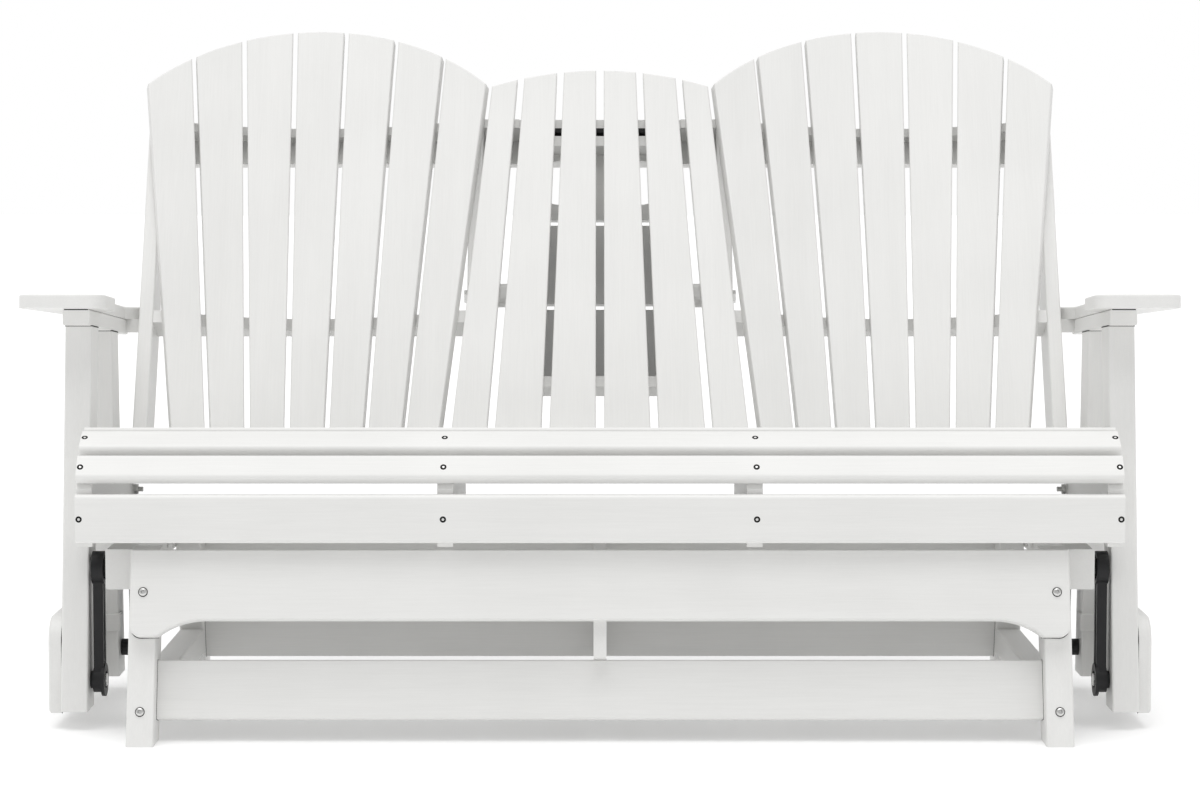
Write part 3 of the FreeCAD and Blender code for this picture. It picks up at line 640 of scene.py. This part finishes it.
@dataclass
class SlatScrews:
    """Small screws on the faces of the seat slats, over the four seat rails, each ringed with painted shade
    for its counterbore.
    """

    book: FinishBook
    outer: float = 717.6
    inner: float = 216.2
    front_z: float = 312.4
    nose: tuple[float, float] = (-349.8, 383.1)
    crest: tuple[float, float] = (-305.0, 419.9)
    deck_count: int = 4
    nose_facing: tuple[float, float, float] = (0.0, -0.791, 0.612)
    crest_facing: tuple[float, float, float] = (0.0, -0.469, 0.883)
    probe: float = 100.0
    # The near-black rings round each head paint the shade of its counterbore.
    profile: tuple[Ring, ...] = (
        rings(Skin.POCKET, (4.4, -0.3), (4.4, 0.06), (4.2, 0.18), (1.9, 0.1), (1.75, -0.25))
        + rings(Skin.STEEL, (1.7, -0.25), (1.65, 0.3), (1.4, 0.46), (0.95, 0.52))
        + rings(Skin.STEEL, (0.8, 0.44), (0.65, 0.1), section=Section.LOBED)
        + rings(Skin.STEEL, (0.0, 0.05)))

    def build(self) -> None:
        """Set every screw and let the row ride on the seat."""
        row = Turnery("seat_slat_screws", self.book)
        rolled = (("seat_nose_slat", self.nose, self.nose_facing),
                  ("seat_crest_slat", self.crest, self.crest_facing))
        for x in (-self.outer, -self.inner, self.inner, self.outer):
            row.turn(self.profile, on_surface("seat_front_slat", (x, -CLEAR, self.front_z), (0.0, 1.0, 0.0)))
            for node, (y, z), face in rolled:
                start = (x, y + self.probe * face[1], z + self.probe * face[2])
                row.turn(self.profile, on_surface(node, start, (0.0, -face[1], -face[2])))
            for n in range(1, self.deck_count + 1):
                node = "seat_deck_slat_%d" % n
                low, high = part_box(node)
                start = (x, (low[1] + high[1]) / 2.0 / MM, CLEAR)
                row.turn(self.profile, on_surface(node, start, (0.0, 0.0, -1.0)))
        row.place(Body.SEAT)


@dataclass
class FrameBolts:
    """Pan-headed bolts of the base and the through bolts of the seat frame."""

    book: FinishBook
    ear: tuple[float, float] = (631.0, 210.9)
    foot: tuple[float, float] = (634.2, 47.2)
    rail_z: float = 309.0
    rear_y: float = 59.5
    behind_face: float = 35.0
    inside_rail: float = 600.0
    # The near-black rim ring paints the contact shadow under each head; the near-black lobed ring paints
    # shade in the drive recess.
    head: tuple[Ring, ...] = (
        rings(Skin.POCKET, (6.7, -0.3), (6.7, 0.2), (6.5, 0.35), (5.8, 0.3), (5.75, 0.2))
        + rings(Skin.STEEL, (5.7, 0.2), (5.65, 1.5), (5.1, 2.5), (4.0, 3.2), (2.7, 3.45))
        + rings(Skin.STEEL, (2.3, 3.3), section=Section.LOBED)
        + rings(Skin.POCKET, (2.1, 1.6), section=Section.LOBED)
        + rings(Skin.STEEL, (0.0, 1.5)))
    dome: tuple[Ring, ...] = rings(
        Skin.STEEL, (9.5, -0.3), (9.5, 0.5), (8.6, 1.9), (6.6, 3.3), (3.6, 4.2), (0.0, 4.5))
    thread_start: float = 9.0
    thread_end: float = 15.0
    thread_pitch: float = 1.0
    thread_root: float = 3.5
    thread_crest: float = 4.0

    def _nut(self) -> tuple[Ring, ...]:
        """Washer, nut and the threaded end that stands out of it.

        Returns:
            The profile.
        """
        washer = rings(Skin.STEEL, (10.5, -0.3), (10.5, 1.3), (10.1, 1.6), (8.0, 1.6))
        nut = rings(Skin.STEEL, (6.4, 1.6), (6.5, 2.1), (6.5, 7.6), (6.1, 8.3), section=Section.HEX)
        steps = [(4.3, 8.5)]
        height = self.thread_start
        while height < self.thread_end:
            steps += [(self.thread_root, height), (self.thread_crest, height + self.thread_pitch / 2.0)]
            height += self.thread_pitch
        steps += [(3.3, self.thread_end + 0.4), (0.0, self.thread_end + 0.6)]
        return washer + nut + rings(Skin.STEEL, *steps)

    def _base(self) -> None:
        """Set the bolts of the aprons and legs."""
        bolts = Turnery("base_frame_bolts", self.book)
        for side, word in SIDES:
            for end, inward in (("front", 1.0), ("rear", -1.0)):
                for node, (x, z) in ((end + "_apron", self.ear), (end + "_leg_" + word, self.foot)):
                    spot = on_surface(node, (side * x, -inward * CLEAR, z), (0.0, inward, 0.0))
                    bolts.turn(self.head, spot)
        bolts.place(Body.BASE)

    def _seat(self) -> None:
        """Set the nuts inside the outer seat rails and the domes outside the posts."""
        bolts = Turnery("seat_frame_bolts", self.book)
        nut = self._nut()
        z = self.rail_z
        for side, word in SIDES:
            face = on_surface("front_post_" + word, (side * POST_MIDDLE, -CLEAR, z), (0.0, 1.0, 0.0))
            for y, post in ((face.place[1] + self.behind_face, "front_post_"), (self.rear_y, "rear_post_")):
                inner = (side * self.inside_rail, y, z)
                bolts.turn(nut, on_surface("seat_outer_rail_" + word, inner, (side, 0.0, 0.0)))
                bolts.turn(self.dome, on_surface(post + word, (side * CLEAR, y, z), (-side, 0.0, 0.0)))
        bolts.place(Body.SEAT)

    def build(self) -> None:
        """Set the base bolts and the seat bolts."""
        self._base()
        self._seat()


@dataclass
class PostCollars:
    """Low wrapped collars on the rear seat posts, over the front and inner faces."""

    book: FinishBook
    low: float = 97.0
    high: float = 123.0
    thick: float = 2.6
    wrap: float = 34.0
    short: float = 1.0
    relief: float = 3.0
    corner: float = 0.3
    round_over: float = 1.1
    round_steps: int = 3

    def _outline(self, side: float, front: float) -> list[tuple[float, float]]:
        """Corners of the collar seen from above.

        Args:
            side: Side of the bench, -1 or 1.
            front: Front face of the post in millimetres.

        Returns:
            Points in millimetres.
        """
        low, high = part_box("rear_post_left")
        inner, outer = -high[0] / MM, -low[0] / MM - self.short
        t, nip = self.thick, self.thick * self.corner
        end, clear = front + self.wrap, self.relief
        run = [(outer, front), (outer, front - t), (inner - nip, front - t), (inner - t, front - nip),
               (inner - t, end), (inner, end), (inner, front + clear), (inner + clear, front)]
        return [(side * x, y) for x, y in run]

    def build(self) -> None:
        """Wrap one collar round each rear post."""
        for side, word in SIDES:
            start = (side * POST_MIDDLE, -CLEAR, (self.low + self.high) / 2.0)
            front = on_surface("rear_post_" + word, start, (0.0, 1.0, 0.0)).place[1]
            mesh = bmesh.new()
            corners = [mesh.verts.new((x * MM, y * MM, self.low * MM)) for x, y in self._outline(side, front)]
            face = mesh.faces.new(corners)
            drawn = bmesh.ops.extrude_face_region(mesh, geom=[face])
            top = [v for v in drawn["geom"] if isinstance(v, bmesh.types.BMVert)]
            bmesh.ops.translate(mesh, verts=top, vec=(0.0, 0.0, (self.high - self.low) * MM))
            bmesh.ops.recalc_face_normals(mesh, faces=mesh.faces)
            data = bpy.data.meshes.new("rear_post_collar_" + word)
            mesh.to_mesh(data)
            mesh.free()
            data.materials.append(self.book.lumber[Grain.ACROSS])
            piece = bpy.data.objects.new("rear_post_collar_" + word, data)
            bpy.context.scene.collection.objects.link(piece)
            soft = piece.modifiers.new("soft_edges", "BEVEL")
            soft.width = self.round_over * MM
            soft.segments = self.round_steps
            soft.limit_method = "ANGLE"
            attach(piece, Body.SEAT.value)
            LOG.info("%s: front at %.1f mm", piece.name, front)


@dataclass(frozen=True)
class Joint:
    """Face of a frame piece that meets another, and the thin line of painted contact shadow round it, in
    millimetres.

    Only the part of the face past inside, on the given side, and within length of its front counts.
    """

    node: str
    facing: tuple[float, float, float]
    half: float
    side: float = 1.0
    inside: float = -ANYWHERE
    length: float = ANYWHERE
    proud: float = 0.5


@dataclass
class JointShadowLines:
    """Thin near-black strips round the joints of posts, arms, side boards, aprons and stretchers, painting
    their contact shadows.
    """

    book: FinishBook
    level: float = 0.95
    depth: float = 60.0
    post_line: float = 0.7
    arm_line: float = 1.3
    arm_start: float = 723.0
    board_run: float = 39.0
    ear_line: float = 0.8
    ear_start: float = 609.0
    ear_proud: float = 1.1
    stretcher_line: float = 0.5

    def _joints(self, word: str, side: float) -> list[tuple[str, Joint, Body]]:
        """Joints of one side of the bench.

        Args:
            word: Side in words.
            side: -1 for left, 1 for right.

        Returns:
            Piece name, joint and body of each painted shadow line.
        """
        up, out, inward = (0.0, 0.0, 1.0), (side, 0.0, 0.0), (-side, 0.0, 0.0)
        board = Joint("low_side_board_" + word, inward, self.post_line, side, 0.0, self.board_run)
        shadow_lines = [("front_post_shadow_line_", Joint("front_post_" + word, up, self.post_line), Body.SEAT),
                ("rear_post_shadow_line_", Joint("rear_post_" + word, up, self.post_line), Body.SEAT),
                ("arm_shadow_line_", Joint("arm_rail_" + word, up, self.arm_line, side, self.arm_start), Body.SEAT),
                ("side_board_shadow_line_", board, Body.SEAT)]
        for end, sign in (("front", 1.0), ("rear", -1.0)):
            facing = (0.0, sign * LEAN_COS, -LEAN_SIN)
            ear = Joint(end + "_apron", facing, self.ear_line, side, self.ear_start, proud=self.ear_proud)
            shadow_lines.append((end + "_ear_shadow_line_", ear, Body.BASE))
        for end in ("front", "rear"):
            stretcher = Joint(end + "_stretcher", out, self.stretcher_line)
            shadow_lines.append((end + "_stretcher_pad_", stretcher, Body.BASE))
        return [(name + word, joint, body) for name, joint, body in shadow_lines]

    def _outline(self, joint: Joint) -> list[Vector]:
        """Outline of the face at a joint.

        Args:
            joint: The joint.

        Returns:
            Corners in order, in metres.
        """
        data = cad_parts[joint.node].data
        way = Vector(joint.facing)
        far = max(v.co.dot(way) for v in data.vertices) - self.depth * MM
        rear = min(v.co.y for v in data.vertices) + joint.length * MM
        across = max(range(3), key=lambda k: abs(way[k]))
        points: dict[tuple[float, float], Vector] = {}
        for face in data.polygons:
            if face.normal.dot(way) < self.level or face.center.dot(way) < far:
                continue
            for index in face.vertices:
                corner = data.vertices[index].co
                if corner.x * joint.side >= joint.inside * MM and corner.y <= rear:
                    flat = [corner[k] for k in range(3) if k != across]
                    points[(round(flat[0], 6), round(flat[1], 6))] = corner.copy()
        return self._hull(points)

    @staticmethod
    def _hull(points: dict[tuple[float, float], Vector]) -> list[Vector]:
        """Outer corners of a set of points.

        Args:
            points: Points by their place on the face.

        Returns:
            The corners in order.
        """
        def half(run: list[tuple[float, float]]) -> list[tuple[float, float]]:
            """One side of the outline.

            Args:
                run: Places in sorted order.

            Returns:
                Its corners, without the last one.
            """
            kept: list[tuple[float, float]] = []
            for u, v in run:
                while len(kept) > 1:
                    (a, b), (c, d) = kept[-2:]
                    if (c - a) * (v - d) - (d - b) * (u - c) > 0.0:
                        break
                    kept.pop()
                kept.append((u, v))
            return kept[:-1]

        run = sorted(points)
        return [points[key] for key in half(run) + half(run[::-1])]

    def _shadow_line(self, name: str, joint: Joint, body: Body) -> None:
        """Make one painted shadow line.

        Args:
            name: Piece name.
            joint: The joint that it fills.
            body: Body that carries it.
        """
        outline = self._outline(joint)
        way = Vector(joint.facing)
        middle = sum(outline, Vector()) / len(outline)
        mesh = bmesh.new()
        rows = []
        for lift in (-joint.half, joint.half):
            row = []
            for p in outline:
                away = p - middle
                away = (away - way * away.dot(way)).normalized()
                row.append(mesh.verts.new(p + away * (joint.proud * MM) + way * (lift * MM)))
            rows.append(row)
        count = len(outline)
        for k in range(count):
            n = (k + 1) % count
            mesh.faces.new((rows[0][k], rows[0][n], rows[1][n], rows[1][k]))
        mesh.faces.new(rows[1])
        mesh.faces.new(rows[0][::-1])
        bmesh.ops.recalc_face_normals(mesh, faces=mesh.faces)
        data = bpy.data.meshes.new(name)
        mesh.to_mesh(data)
        mesh.free()
        # The near-black finish paints the contact shadow of the joint.
        data.materials.append(self.book.pocket)
        piece = bpy.data.objects.new(name, data)
        bpy.context.scene.collection.objects.link(piece)
        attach(piece, body.value)
        LOG.info("%s: %d corners", name, count)

    def build(self) -> None:
        """Lay every painted shadow line."""
        for side, word in SIDES:
            for name, joint, body in self._joints(word, side):
                self._shadow_line(name, joint, body)


@dataclass
class Studio:
    """Pale floor, soft light and the viewpoint."""

    eye: tuple[float, float, float] = (0.0, -4.92851, 0.840)
    pitch: float = 4.478
    lens: float = 100.0
    sensor: float = 36.0
    view_end: float = 200.0
    floor_half: float = 30.0
    floor_tint: Colour = (0.82, 0.82, 0.82, 1.0)
    floor_roughness: float = 0.9
    floor_gloss: float = 0.1
    floor_glow: float = 0.23
    white: Colour = (1.0, 1.0, 1.0, 1.0)
    surround: float = 0.63
    backdrop: float = 1.0
    scrim_from: tuple[float, float, float] = (-0.07, -0.16, 0.984)
    scrim_strength: float = 0.54
    scrim_spread: float = 55.0

    def build(self) -> None:
        """Set up the whole stage."""
        self._floor()
        self._world()
        self._scrim()
        self._camera()

    def _floor(self) -> None:
        """Lay a plain pale floor."""
        mesh = bpy.data.meshes.new("studio_floor")
        h = self.floor_half
        mesh.from_pydata([(-h, -h, 0.0), (h, -h, 0.0), (h, h, 0.0), (-h, h, 0.0)], [], [(0, 1, 2, 3)])
        floor = bpy.data.objects.new("studio_floor", mesh)
        bpy.context.scene.collection.objects.link(floor)
        sheet = MaterialSheet("pale_floor")
        sheet.shader.inputs["Base Color"].default_value = self.floor_tint
        sheet.shader.inputs["Roughness"].default_value = self.floor_roughness
        sheet.shader.inputs["Emission Color"].default_value = self.white
        sheet.shader.inputs["Emission Strength"].default_value = self.floor_glow
        sheet.shader.inputs["Specular IOR Level"].default_value = self.floor_gloss
        mesh.materials.append(sheet.material)

    def _world(self) -> None:
        """Even surround that lights the bench, with a clean white background."""
        world = bpy.data.worlds.new("white_surround")
        bpy.context.scene.world = world
        world.use_nodes = True
        nodes, links = world.node_tree.nodes, world.node_tree.links
        glow = nodes["Background"]
        glow.inputs["Color"].default_value = self.white
        glow.inputs["Strength"].default_value = self.surround
        clean = nodes.new("ShaderNodeBackground")
        clean.inputs["Strength"].default_value = self.backdrop
        clean.inputs["Color"].default_value = self.white
        seen = nodes.new("ShaderNodeLightPath")
        mix = nodes.new("ShaderNodeMixShader")
        links.new(seen.outputs["Is Camera Ray"], mix.inputs[0])
        links.new(glow.outputs[0], mix.inputs[1])
        links.new(clean.outputs[0], mix.inputs[2])
        links.new(mix.outputs[0], nodes["World Output"].inputs["Surface"])
        view = bpy.context.scene.view_settings
        view.view_transform = "Standard"
        view.look = "None"

    def _scrim(self) -> None:
        """Hang one wide even light overhead."""
        data = bpy.data.lights.new("overhead_scrim", "SUN")
        data.energy = self.scrim_strength * math.pi
        data.angle = math.radians(self.scrim_spread)
        lamp = bpy.data.objects.new("overhead_scrim", data)
        lamp.rotation_euler = Vector(self.scrim_from).to_track_quat("Z", "Y").to_euler()
        bpy.context.scene.collection.objects.link(lamp)

    def _camera(self) -> None:
        """Place the camera at the viewpoint."""
        data = bpy.data.cameras.new("viewpoint")
        data.sensor_fit = "HORIZONTAL"
        data.sensor_width = self.sensor
        data.lens = self.lens
        data.clip_end = self.view_end
        camera = bpy.data.objects.new("viewpoint", data)
        camera.location = self.eye
        camera.rotation_euler = (math.radians(90.0 - self.pitch), 0.0, 0.0)
        bpy.context.scene.collection.objects.link(camera)
        bpy.context.scene.camera = camera


def main() -> None:
    """Build the looks in order."""
    logging.basicConfig(level=logging.INFO, format="%(message)s")
    book = FinishBook()
    FrameDressing(book).dress()
    SlatScrews(book).build()
    FrameBolts(book).build()
    PostCollars(book).build()
    JointShadowLines(book).build()
    Studio().build()


if __name__ == "__main__":
    main()
